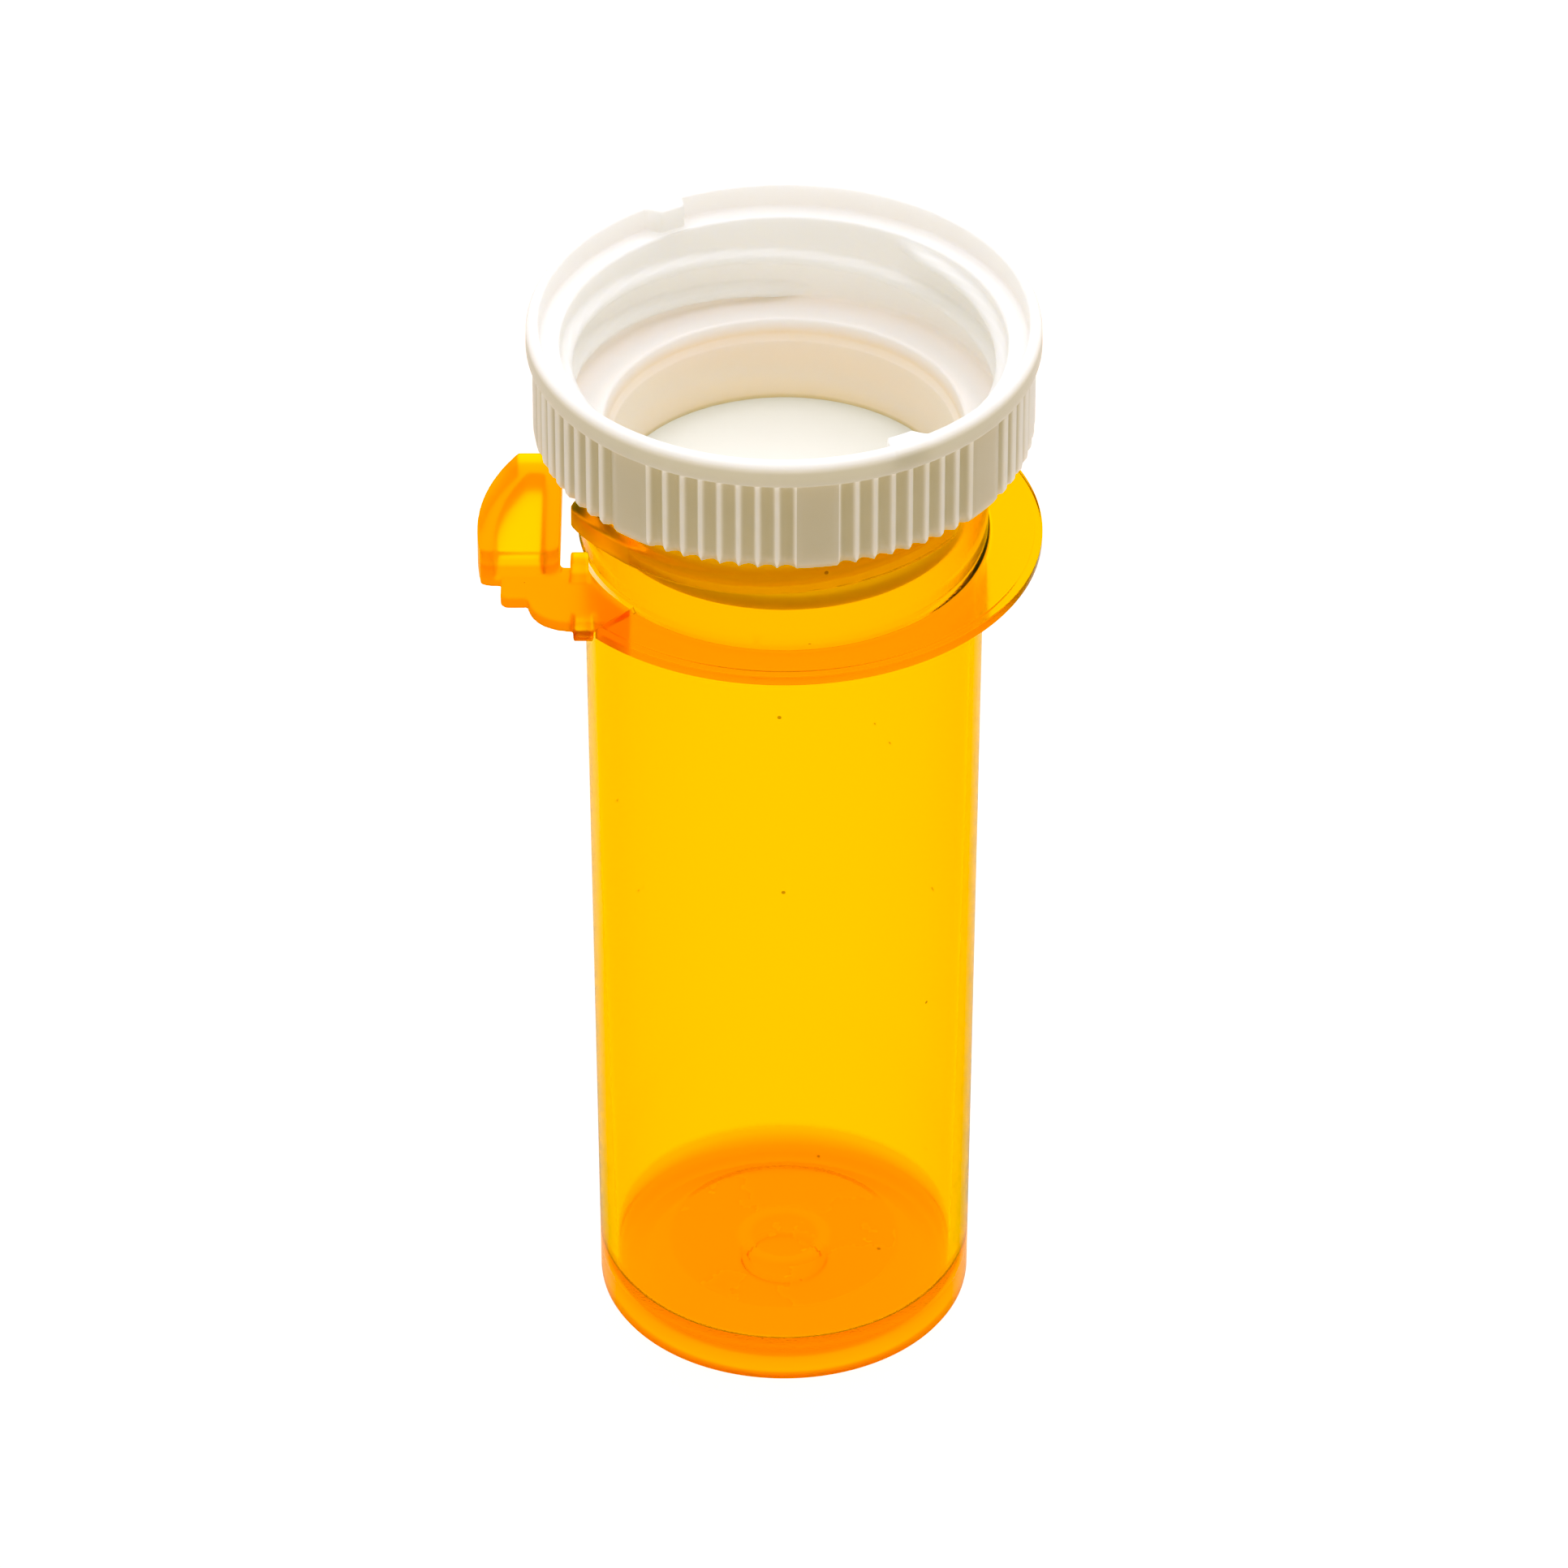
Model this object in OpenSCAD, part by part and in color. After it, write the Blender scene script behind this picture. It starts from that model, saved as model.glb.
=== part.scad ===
// Prescription vial with a reversible screw cap and a press-down release lever.
// The vial stands on z = 0 with its axis on +Z. The lever is on the -X side.
// The cap is fitted upside-down: its plug is screwed into the neck, and its hollow side faces up.

/* [Vial] */
// Outside diameter of the vial at its foot
foot_d = 28.5; // [24:0.1:40]
// Outside diameter of the vial just under its collar
shoulder_d = 29.7; // [24:0.1:42]
// Height of the collar's top face above the base
collar_top_z = 70.65; // [40:0.05:110]
// Thickness of the vial's side wall
wall_t = 1.1; // [0.8:0.05:2]
// Thickness of the vial's floor
floor_t = 2.9; // [0.8:0.05:4]
// Height and width of the bevel around the foot
foot_bevel = 0.7; // [0.2:0.1:1]
// Depth of the recess under the floor, inside the foot ring
base_recess = 0.5; // [0.2:0.05:4]
// Width of the foot ring, from the vial's side to the recess
foot_ring_w = 1.75; // [1.4:0.05:4]
// Diameter of the gate ring in the middle of the underside
gate_d = 6.6; // [3:0.1:12]

/* [Collar and neck] */
// Outside diameter of the collar
collar_d = 38.3; // [36:0.1:56]
// Thickness of the collar
collar_t = 0.95; // [0.8:0.05:2]
// Outside diameter of the neck, without its threads
neck_d = 30.26; // [29.8:0.02:44]
// Height of the neck above the collar
neck_h = 8.35; // [7:0.05:14]
// Thickness of the neck's wall
neck_wall = 1.13; // [0.8:0.01:2]

/* [Threads] */
// Rise of every thread in one full turn
thread_lead = 6; // [4:0.5:9]
// Height of the outside thread on the neck
neck_thread_h = 1.07; // [0.6:0.01:1.5]
// Height of the inside thread in the cap's skirt
skirt_thread_h = 0.9; // [0.5:0.05:1.2]
// Height of the threads between the plug and the neck's bore
plug_thread_h = 0.45; // [0.3:0.05:0.7]
// Radial clearance between a thread's crest and the wall that faces it
thread_gap = 0.15; // [0.1:0.01:0.4]
// How far each outside thread on the neck hooks down at its lower end
hook_drop = 2.4; // [0:0.1:3]

/* [Cap] */
// Height of the cap above the neck's rim
cap_h = 9.95; // [8:0.05:16]
// Thickness of the plate that rests on the neck's rim
plate_t = 1.1; // [0.8:0.05:2]
// Depth of the plug below the neck's rim
plug_depth = 6.55; // [4:0.05:7.5]
// Thickness of the plug's wall
plug_wall = 0.7; // [0.6:0.05:1.2]
// Thickness of the plug's floor
plug_floor_t = 1; // [0.8:0.05:2]
// Thickness of the skirt at the bottom of its grooves
skirt_wall = 1.6; // [1.2:0.05:2.5]
// Depth of the grooves between the grip ribs
rib_depth = 0.45; // [0.2:0.05:0.8]
// Height of the plain bead around the open rim
bead_h = 2.05; // [1.5:0.05:4]
// How far the bead stands out past the ribs
bead_step = 0.45; // [0.1:0.05:0.8]
// Thickness of the rim around the counterbore
rim_wall = 0.95; // [0.8:0.05:1.5]
// Depth of the counterbore inside the rim
counterbore_h = 1.85; // [1:0.05:3]
// Number of groups of grip ribs
rib_groups = 8; // [6:1:12]
// Grooves in each group of ribs
grooves_per_group = 8; // [4:1:10]
// Angle taken by the plain panel between two groups
panel_angle = 9.5; // [5:0.5:14]
// Clearance between the plug's wall and its floor disc
disc_gap = 0.05; // [0.02:0.01:0.1]

/* [Release lever] */
// Direction of the lever's living hinge, seen from above
hinge_az = 224; // [215:1:235]
// Direction at which the collar starts again behind the lever
bay_end_az = 152; // [140:1:160]
// Gap between the thumb pad and the neck
pad_slot = 1.37; // [1.2:0.05:3]
// Width of the thumb pad, measured away from the vial
pad_w = 6.1; // [5:0.1:9]
// Front end of the thumb pad
pad_front_y = -6.6; // [-8:0.1:-6]
// Back end of the thumb pad
pad_back_y = 6.2; // [5:0.1:7]
// Height of the thumb pad
pad_h = 3.2; // [2.5:0.1:4]
// Thickness of the pad's walls
pad_wall = 1.2; // [0.8:0.05:1.6]
// Width of the arm from the pad's front end to its own front edge
arm_w = 5.8; // [4:0.1:7]
// Radial gap between the arm and the neck
arm_gap = 0.35; // [0.3:0.01:0.8]
// Gap across the living hinge
hinge_gap = 0.05; // [0.03:0.01:0.1]

/* [Hidden] */
$fn = 96;
eps = 0.01;
bite = 0.25;          // how deep a thread is rooted in its wall
step_angle = 6;       // angle of one step along a thread
fade_steps = 3;       // steps over which a thread's ends run out
starts = [0, 180];    // every thread has two starts
skirt_clear = 0.05;   // extra room for the skirt's thread over the neck's
neck_thread_az = 182; // direction at which the neck's outside thread starts
plug_thread_az = 30;  // direction at which the bore's and the plug's threads start
skirt_thread_az = 62; // direction at which the skirt's thread ends
thread_depth = 3.4;   // height of the neck's rim above the start of the bore's thread
plug_base_w = 1.1;    // width of the bore's and the plug's threads at the wall
plug_crest_w = 0.4;   // width of the bore's and the plug's threads at the crest
lug_az = 119;         // direction of the first of the two lugs in the rim
hinge_least = 1.5;    // least length of the living hinge, measured out from the arm's gap

foot_r = foot_d / 2;
shoulder_r = shoulder_d / 2;
collar_r = collar_d / 2;
collar_low_z = collar_top_z - collar_t;
neck_r = neck_d / 2;
neck_top_z = collar_top_z + neck_h;
bore_r = neck_r - neck_wall;
gate_r = gate_d / 2;
floor_z = base_recess + floor_t;

// The arm reaches further forward where a wide neck would leave its hinge too short.
hinge_front_y = (neck_r + arm_gap + hinge_least) * sin(hinge_az);
arm_front_y = min(pad_front_y - arm_w, hinge_front_y);
arm_l = pad_front_y - arm_front_y;

skirt_bore_r = neck_r + neck_thread_h + thread_gap + skirt_clear;
groove_r = skirt_bore_r + skirt_wall;
rib_r = groove_r + rib_depth;
bead_r = rib_r + bead_step;
counterbore_r = bead_r - rim_wall;
rim_z = neck_top_z + cap_h;
ledge_z = rim_z - counterbore_h;
bead_low_z = rim_z - bead_h;
plate_top_z = neck_top_z + plate_t;
plug_r = bore_r - plug_thread_h - thread_gap;
plug_low_z = neck_top_z - plug_depth;
well_r = plug_r - plug_wall;

amber = [1, 0.6, 0.02, 0.75];
white = [0.95, 0.94, 0.9];

// ---- threads ----

// One right-hand ridge that climbs from from_az and from_z, rooted in a wall of radius wall_r.
// It stands out of the wall for a positive height and into the bore for a negative one.
// Over its first hook_angle degrees the ridge hooks down by hook_z at its lower end.
module ridge(wall_r, height, from_az, from_z, sweep, base_w, crest_w, hook_z = 0, hook_angle = 1)
{
    steps = round(sweep / step_angle);
    side = sign(height);
    root_r = wall_r - side * bite;
    sunk_r = wall_r - side * bite / 2;
    rings = [
        for (i = [0 : steps])
            let (
                turned = i * sweep / steps,
                az = from_az + turned,
                hook = hook_z * pow(max(0, 1 - turned / hook_angle), 2),
                z = from_z + thread_lead * turned / 360 - hook,
                fade = min(1, i / fade_steps, (steps - i) / fade_steps),
                crest_r = sunk_r + (wall_r + height - sunk_r) * fade,
                flank = [[root_r, -base_w / 2], [crest_r, -crest_w / 2],
                         [crest_r, crest_w / 2], [root_r, base_w / 2]]
            )
            for (p = flank) [p[0] * cos(az), p[0] * sin(az), z + p[1]]
    ];
    sides = [
        for (i = [0 : steps - 1], j = [0 : 3])
            let (
                a = 4 * i + j,
                b = 4 * i + (j + 1) % 4,
                c = b + 4,
                d = a + 4
            )
            each [[a, b, c], [a, c, d]]
    ];
    last = 4 * steps;
    ends = [[3, 2, 1, 0], [last, last + 1, last + 2, last + 3]];
    faces = concat(sides, ends);
    polyhedron(
        points = rings,
        faces = side > 0 ? faces : [for (f = faces) [for (k = [len(f) - 1 : -1 : 0]) f[k]]]
    );
}

// Two-start outside thread on the neck, for the cap fitted the other way up
module neck_outside_thread()
{
    sweep = 150;
    base_w = 2.6;
    crest_w = 1.5;
    hook_angle = 42;
    rim_clear = 0.05;
    top_z = neck_top_z - base_w / 2 - rim_clear;
    from_z = top_z - thread_lead * sweep / 360;
    for (start = starts)
        ridge(neck_r, neck_thread_h, start + neck_thread_az, from_z, sweep,
              base_w, crest_w, hook_drop, hook_angle);
}

// Two-start thread in the neck's bore, which holds the plug
module neck_inside_thread()
{
    sweep = 96;
    from_z = neck_top_z - thread_depth;
    for (start = starts)
        ridge(bore_r, -plug_thread_h, start + plug_thread_az, from_z, sweep, plug_base_w, plug_crest_w);
}

// Two-start thread on the plug, half a pitch below the bore's thread
module plug_thread()
{
    sweep = 132;
    lift = 0.3;
    from_z = neck_top_z - thread_depth - thread_lead / 4 + lift;
    for (start = starts)
        ridge(plug_r, plug_thread_h, start + plug_thread_az, from_z, sweep, plug_base_w, plug_crest_w);
}

// Two-start thread inside the skirt
module skirt_thread()
{
    sweep = 342;
    base_w = 1.4;
    crest_w = 0.6;
    ledge_drop = 0.4;
    from_z = ledge_z - ledge_drop - thread_lead * sweep / 360;
    for (start = starts)
        ridge(skirt_bore_r, -skirt_thread_h, start + skirt_thread_az - sweep, from_z, sweep,
              base_w, crest_w);
}

// ---- vial ----

// Solid outside form of the vial, without its collar
module vial_outside()
{
    rotate_extrude()
        polygon([
            [0, 0],
            [foot_r - foot_bevel, 0],
            [foot_r, foot_bevel],
            [shoulder_r, collar_low_z],
            [neck_r, collar_top_z],
            [neck_r, neck_top_z],
            [0, neck_top_z]
        ]);
}

// Space inside the vial, which opens out into the neck's bore
module vial_inside()
{
    corner = 0.6;
    flare_h = 0.5;
    rotate_extrude()
        polygon([
            [0, floor_z],
            [foot_r - wall_t - corner, floor_z],
            [foot_r - wall_t, floor_z + corner],
            [shoulder_r - wall_t, collar_low_z],
            [bore_r, collar_top_z + flare_h],
            [bore_r, neck_top_z + eps],
            [0, neck_top_z + eps]
        ]);
}

// Wedge between two directions, as a flat outline that reaches past the collar
module wedge(az_from, az_to)
{
    reach = 2 * collar_r;
    middle = (az_from + az_to) / 2;
    polygon([
        [0, 0],
        reach * [cos(az_from), sin(az_from)],
        reach * [cos(middle), sin(middle)],
        reach * [cos(az_to), sin(az_to)]
    ]);
}

module collar()
{
    translate([0, 0, collar_low_z])
        linear_extrude(collar_t)
            difference() {
                circle(collar_r);
                difference() {
                    wedge(bay_end_az, hinge_az);
                    circle(neck_r);
                }
            }
}

// Recess in the underside, inside the foot ring, with a raised gate ring on its ceiling
module underside_recess()
{
    draft = 0.2;
    recess_r = foot_r - foot_ring_w;
    gate_h = 0.2;
    gate_ring_w = 0.6;
    difference() {
        translate([0, 0, -eps])
            cylinder(r1 = recess_r, r2 = recess_r - draft, h = base_recess + eps);
        translate([0, 0, base_recess - gate_h])
            difference() {
                cylinder(r = gate_r, h = gate_h + base_recess);
                translate([0, 0, -base_recess])
                    cylinder(r = gate_r - gate_ring_w, h = gate_h + 3 * base_recess);
            }
    }
}

module vial_body()
{
    color(amber) {
        difference() {
            union() {
                vial_outside();
                collar();
                neck_outside_thread();
            }
            vial_inside();
            underside_recess();
        }
        neck_inside_thread();
    }
}

// ---- release lever ----

// Flat rectangle with round corners
module rounded_rectangle(low, high, r)
{
    translate([low[0] + r, low[1]])
        square([high[0] - low[0] - 2 * r, high[1] - low[1]]);
    translate([low[0], low[1] + r])
        square([high[0] - low[0], high[1] - low[1] - 2 * r]);
    for (x = [low[0] + r, high[0] - r], y = [low[1] + r, high[1] - r])
        translate([x, y])
            circle(r, $fn = 32);
}

// Outline of the thumb pad, drawn in by inset on every side.
// Its outer edge is an arc that turns in towards the back end.
module pad_outline(inset)
{
    inner_x = -neck_r - pad_slot;
    outer_x = inner_x - pad_w;
    arc_r = 17;
    arc_back = 3.4;
    corner_r = 1 - inset / 3;
    intersection() {
        rounded_rectangle(
            [outer_x + inset, pad_front_y + inset],
            [inner_x - inset, pad_back_y - inset],
            corner_r
        );
        translate([outer_x + arc_r, pad_front_y + arc_back])
            circle(arc_r - inset);
    }
}

// Outline of the lever's base plate: the arm, its rounded elbow and the tongue under the pad
module plate_outline()
{
    pad_inner_x = -neck_r - pad_slot;
    elbow_r = 3.2;
    elbow_out = 2.3;
    elbow_x = pad_inner_x - elbow_out;
    arm_lap = 0.7;
    tongue_w = 2;
    tongue_l = 2.8;
    tongue_r = 0.6;
    // elbow end of the arm
    intersection() {
        translate([elbow_x + elbow_r, arm_front_y + elbow_r])
            circle(elbow_r);
        translate([elbow_x, arm_front_y])
            square(elbow_r);
    }
    // arm
    translate([elbow_x + elbow_r, arm_front_y])
        square([-elbow_x - elbow_r, arm_l + arm_lap]);
    // web between the elbow and the pad
    translate([elbow_x, arm_front_y + elbow_r])
        square([elbow_r + eps, arm_l - elbow_r + pad_wall]);
    // tongue
    rounded_rectangle(
        [elbow_x - tongue_w, pad_front_y - tongue_l],
        [elbow_x + tongue_w, pad_front_y + pad_wall],
        tongue_r
    );
}

module release_lever()
{
    stop_w = 1.3;
    stop_l = 1.7;
    stop_h = 1.75;
    stop_gap = 0.55;
    stop_lap = 1;
    heel_w = 1.5;
    heel_l = 2;
    heel_h = 0.85;
    heel_gap = 0.3;
    cut_angle = 110;
    cut_h = pad_h + heel_h + 2;
    cut_z = collar_low_z - heel_h - 1;
    color(amber)
        difference() {
            union() {
                translate([0, 0, collar_low_z])
                    linear_extrude(collar_t)
                        plate_outline();
                // thumb pad, hollow underneath
                translate([0, 0, collar_low_z])
                    difference() {
                        linear_extrude(pad_h)
                            pad_outline(0);
                        translate([0, 0, -eps])
                            linear_extrude(pad_h - pad_wall + eps)
                                pad_outline(pad_wall);
                    }
                // upright stop that catches the lugs in the cap's rim
                translate([-neck_r - stop_gap, pad_front_y - stop_lap, collar_low_z])
                    cube([stop_w, stop_l, collar_t + stop_h]);
                // heel under the arm's front edge
                translate([-neck_r - heel_gap, arm_front_y, collar_low_z - heel_h])
                    cube([heel_w, heel_l, heel_h + eps]);
            }
            // clearance around the neck
            translate([0, 0, cut_z])
                cylinder(r = neck_r + arm_gap, h = cut_h);
            // the arm ends at its hinge line
            translate([0, 0, cut_z])
                linear_extrude(cut_h)
                    translate(hinge_gap * [sin(hinge_az), -cos(hinge_az)])
                        wedge(hinge_az, hinge_az + cut_angle);
        }
}

// ---- cap ----

// Section of the cap from its axis outwards, without ribs, threads or the plug's floor
module cap_section()
{
    foot_round = 1.3;
    bead_bevel = 0.2;
    plug_bevel = 0.3;
    mouth_drop = 1.6;
    mouth_w = 0.6;
    polygon([
        [well_r, plug_low_z],
        [plug_r - plug_bevel, plug_low_z],
        [plug_r, plug_low_z + plug_bevel],
        [plug_r, neck_top_z],
        [rib_r - foot_round, neck_top_z],
        [rib_r - foot_round / 3, neck_top_z + foot_round / 3],
        [rib_r, neck_top_z + foot_round],
        [rib_r, bead_low_z],
        [bead_r, bead_low_z + bead_bevel],
        [bead_r, rim_z - bead_bevel],
        [bead_r - bead_bevel, rim_z],
        [counterbore_r, rim_z],
        [counterbore_r, ledge_z],
        [skirt_bore_r, ledge_z],
        [skirt_bore_r, plate_top_z],
        [well_r + mouth_w, plate_top_z],
        [well_r + mouth_w / 2, neck_top_z],
        [well_r, plate_top_z - mouth_drop]
    ]);
}

// Grooves between the grip ribs, which run out through the skirt's lower edge
module grip_grooves()
{
    group_angle = 360 / rib_groups;
    pitch = (group_angle - panel_angle) / grooves_per_group;
    roundness = 1.25;
    groove_cut_r = rib_depth * roundness;
    panel_az = 277.6;
    for (g = [0 : rib_groups - 1], i = [0 : grooves_per_group - 1])
        rotate(panel_az + g * group_angle + panel_angle / 2 + (i + 0.5) * pitch)
            translate([groove_r + groove_cut_r, 0, neck_top_z - eps])
                cylinder(r = groove_cut_r, h = bead_low_z - neck_top_z + eps, $fn = 24);
}

// Ratchet lug on the inside of the rim: one steep face, one ramp
module rim_lug()
{
    lug_in = 1.05;
    lug_w = 2.3;
    ramp_w = 1.6;
    translate([0, 0, ledge_z - eps])
        linear_extrude(rim_z - ledge_z + eps)
            polygon([
                [counterbore_r + bite, -lug_w / 2],
                [counterbore_r - lug_in, -lug_w / 2],
                [counterbore_r - lug_in, lug_w / 2],
                [counterbore_r, lug_w / 2 + ramp_w],
                [counterbore_r + bite, lug_w / 2 + ramp_w]
            ]);
}

module reversible_cap()
{
    color(white) {
        difference() {
            rotate_extrude()
                cap_section();
            grip_grooves();
        }
        skirt_thread();
        plug_thread();
        for (az = [lug_az, lug_az + 180])
            rotate(az)
                rim_lug();
    }
}

module cap_plug_floor()
{
    color(white)
        translate([0, 0, plug_low_z])
            cylinder(r = well_r - disc_gap, h = plug_floor_t);
}

vial_body();
release_lever();
reversible_cap();
cap_plug_floor();
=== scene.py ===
"""Looks of the prescription vial: amber vial and lever, white reversible cap, pale studio."""

import math

import bmesh
import bpy
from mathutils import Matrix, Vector


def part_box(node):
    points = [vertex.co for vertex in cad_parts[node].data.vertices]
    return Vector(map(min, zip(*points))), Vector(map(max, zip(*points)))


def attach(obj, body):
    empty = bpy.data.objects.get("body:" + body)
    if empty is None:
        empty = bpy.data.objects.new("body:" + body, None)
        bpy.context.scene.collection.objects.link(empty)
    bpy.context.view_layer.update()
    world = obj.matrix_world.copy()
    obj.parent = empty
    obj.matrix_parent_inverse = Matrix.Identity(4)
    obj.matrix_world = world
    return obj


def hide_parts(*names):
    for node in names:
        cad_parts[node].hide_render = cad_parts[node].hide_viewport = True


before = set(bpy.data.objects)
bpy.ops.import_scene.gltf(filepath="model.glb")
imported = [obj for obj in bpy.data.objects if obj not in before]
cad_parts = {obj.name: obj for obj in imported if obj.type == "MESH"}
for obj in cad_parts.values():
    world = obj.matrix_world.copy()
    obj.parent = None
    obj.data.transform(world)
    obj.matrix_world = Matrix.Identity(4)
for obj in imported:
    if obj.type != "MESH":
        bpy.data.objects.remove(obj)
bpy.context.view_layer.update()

MM = 0.001


# ---- places and sizes, in millimetres, from the frame ----

def box_mm(node):
    low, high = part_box(node)
    return low / MM, high / MM


vial_high = box_mm("vial_body")[1]
cap_low, cap_high = box_mm("reversible_cap")
disc_low, disc_high = box_mm("cap_plug_floor")

# vial
NECK_TOP = vial_high.z
NECK_H = 8.35
NECK_R = 15.13
NECK_WALL = 1.13
BORE_R = NECK_R - NECK_WALL
COLLAR_R = vial_high.x
COLLAR_T = 0.95
COLLAR_TOP = NECK_TOP - NECK_H
COLLAR_LOW = COLLAR_TOP - COLLAR_T
FOOT_R = 14.25
SHOULDER_R = 14.85
WALL = 1.1
FLOOR_T = 2.9
FOOT_RING_W = 1.75
RECESS_DEPTH = 0.5
RECESS_R = FOOT_R - FOOT_RING_W
FLOOR_Z = RECESS_DEPTH + FLOOR_T
GATE_R = 3.3
STAND_OFF = 0.03       # keeps the foot's face off the table's, so that the two don't coincide
HINGE_AZ = 224.0
BAY_END_AZ = 152.0
NUB_AZ = 262.5

# threads
LEAD = 6.0
NECK_THREAD_H = 1.07
NECK_THREAD_AZ = 182.0
SKIRT_THREAD_H = 0.9
SKIRT_THREAD_AZ = 62.0
PLUG_THREAD_H = 0.45
PLUG_THREAD_AZ = 30.0
PLUG_THREAD_DROP = 3.4
PLUG_THREAD_BASE = 1.1
FINE_CREST = 0.4

# cap
RIM_TOP = cap_high.z
BEAD_R = cap_high.x
BEAD_STEP = 0.45
BEAD_H = 2.05
BEAD_LOW = RIM_TOP - BEAD_H
RIB_R = BEAD_R - BEAD_STEP
RIM_WALL = 0.95
COUNTERBORE_R = BEAD_R - RIM_WALL
COUNTERBORE_H = 1.85
LEDGE_Z = RIM_TOP - COUNTERBORE_H
SKIRT_BORE_R = 16.4
PLATE_T = 1.1
PLATE_TOP = NECK_TOP + PLATE_T
PLUG_LOW = cap_low.z
PLUG_R = 13.4
WELL_R = 12.7
RIB_GROUPS = 8
GROOVES = 8
PANEL_ANGLE = 9.5
PANEL_AZ = 277.6
SECTOR = 360.0 / RIB_GROUPS


# ---- node graphs ----

class Number:
    """A number that flows through a node tree. Arithmetic on it adds Math nodes."""

    def __init__(self, graph, socket):
        self.graph = graph
        self.socket = socket

    def _math(self, operation, *others):
        return self.graph.math(operation, self, *others)

    def __add__(self, other):
        return self._math("ADD", other)

    def __sub__(self, other):
        return self._math("SUBTRACT", other)

    def __mul__(self, other):
        return self._math("MULTIPLY", other)

    def __truediv__(self, other):
        return self._math("DIVIDE", other)

    def __pow__(self, other):
        return self._math("POWER", other)

    def __rsub__(self, other):
        return self.graph.math("SUBTRACT", other, self)

    def __rtruediv__(self, other):
        return self.graph.math("DIVIDE", other, self)

    def __neg__(self):
        return self * -1.0

    __radd__ = __add__
    __rmul__ = __mul__


class Graph:
    """Adds nodes to one tree, for shaders and geometry alike."""

    def __init__(self, tree):
        self.tree = tree

    def add(self, kind, settings=None, inputs=None):
        """Makes a node, sets its settings first, then fills or links its sockets."""
        node = self.tree.nodes.new(kind)
        for name, value in (settings or {}).items():
            setattr(node, name, value)
        for key, value in (inputs or {}).items():
            self.feed(node.inputs[key], value)
        return node

    def feed(self, socket, value):
        if isinstance(value, Number):
            value = value.socket
        if isinstance(value, bpy.types.NodeSocket):
            self.tree.links.new(value, socket)
        else:
            socket.default_value = value

    def number(self, node, output=0):
        return Number(self, node.outputs[output])

    def math(self, operation, *values):
        node = self.add("ShaderNodeMath", {"operation": operation}, dict(enumerate(values)))
        return self.number(node)

    def clamp(self, value):
        node = self.add("ShaderNodeMath", {"operation": "ADD", "use_clamp": True}, {0: value, 1: 0.0})
        return self.number(node)

    def smooth(self, value):
        """Eases a number from 0 at 0 to 1 at 1, and holds it outside that."""
        x = self.clamp(value)
        return x * x * (3.0 - 2.0 * x)

    def rise(self, value, start, width):
        """0 up to the start, 1 from start + width on, and eased in between."""
        return self.smooth((value - start) / width)

    def fall(self, value, start, width):
        """1 up to the start, 0 from start + width on, and eased in between."""
        return 1.0 - self.rise(value, start, width)

    def xyz(self, vector):
        node = self.add("ShaderNodeSeparateXYZ", inputs={0: vector})
        return [self.number(node, axis) for axis in range(3)]

    def bearing(self, x, y):
        """Direction round the axis, in degrees from 0 to 360."""
        turned = self.math("ARCTAN2", y, x) * (180.0 / math.pi)
        return self.math("FLOORED_MODULO", turned, 360.0)

    def radius(self, x, y):
        return self.math("SQRT", x * x + y * y)


# ---- lathed meshes ----

def rounded(corners, steps=4):
    """Turns corners (r, z, fillet) into a line of points whose corners are arcs."""
    points = []
    for i, (r, z, fillet) in enumerate(corners):
        here = Vector((r, z))
        if fillet == 0 or i in (0, len(corners) - 1):
            points.append(here)
            continue
        back = (Vector(corners[i - 1][:2]) - here).normalized()
        ahead = (Vector(corners[i + 1][:2]) - here).normalized()
        half = back.angle(ahead) / 2
        reach = fillet / math.tan(half)
        start, end = here + back * reach, here + ahead * reach
        centre = here + (back + ahead).normalized() * (fillet / math.sin(half))
        for k in range(steps + 1):
            share = k / steps
            point = start.lerp(end, share)
            points.append(centre + (point - centre).normalized() * fillet)
    return points


def spaced(points, low_z, high_z, spacing):
    """Adds points on the steep stretches between two heights, for ridges to bend."""
    out = [points[0]]
    for a, b in zip(points, points[1:]):
        steep = abs(b.y - a.y) > 4 * abs(b.x - a.x)
        inside = min(a.y, b.y) < high_z and max(a.y, b.y) > low_z
        count = math.ceil(abs(b.y - a.y) / spacing) if steep and inside else 1
        out.extend(a.lerp(b, (k + 1) / count) for k in range(count))
    return out


def lathe(name, rings, closed_loop=False):
    """Skins rings of points. Each ring is one row of the section at every direction.
    An open section starts and ends on the axis, where its first and last rings are poles."""
    count = len(rings[0])
    mesh = bpy.data.meshes.new(name)
    bm = bmesh.new()
    rows = []
    for k, ring in enumerate(rings):
        if not closed_loop and k in (0, len(rings) - 1):
            rows.append([bm.verts.new((0, 0, ring[0][2] * MM))] * count)
        else:
            rows.append([bm.verts.new([c * MM for c in p]) for p in ring])
    pairs = list(zip(rows, rows[1:]))
    if closed_loop:
        pairs.append((rows[-1], rows[0]))
    for low, high in pairs:
        for i in range(count):
            j = (i + 1) % count
            corners = [low[i], low[j], high[j], high[i]]
            bm.faces.new(list(dict.fromkeys(corners)))
    bmesh.ops.recalc_face_normals(bm, faces=bm.faces)
    bm.to_mesh(mesh)
    bm.free()
    mesh.polygons.foreach_set("use_smooth", [True] * len(mesh.polygons))
    piece = bpy.data.objects.new(name, mesh)
    bpy.context.scene.collection.objects.link(piece)
    return piece


def turned_rings(section, bearings):
    """The same section at every direction."""
    return [
        [(p.x * math.cos(a), p.x * math.sin(a), p.y) for a in bearings]
        for p in section
    ]


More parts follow.
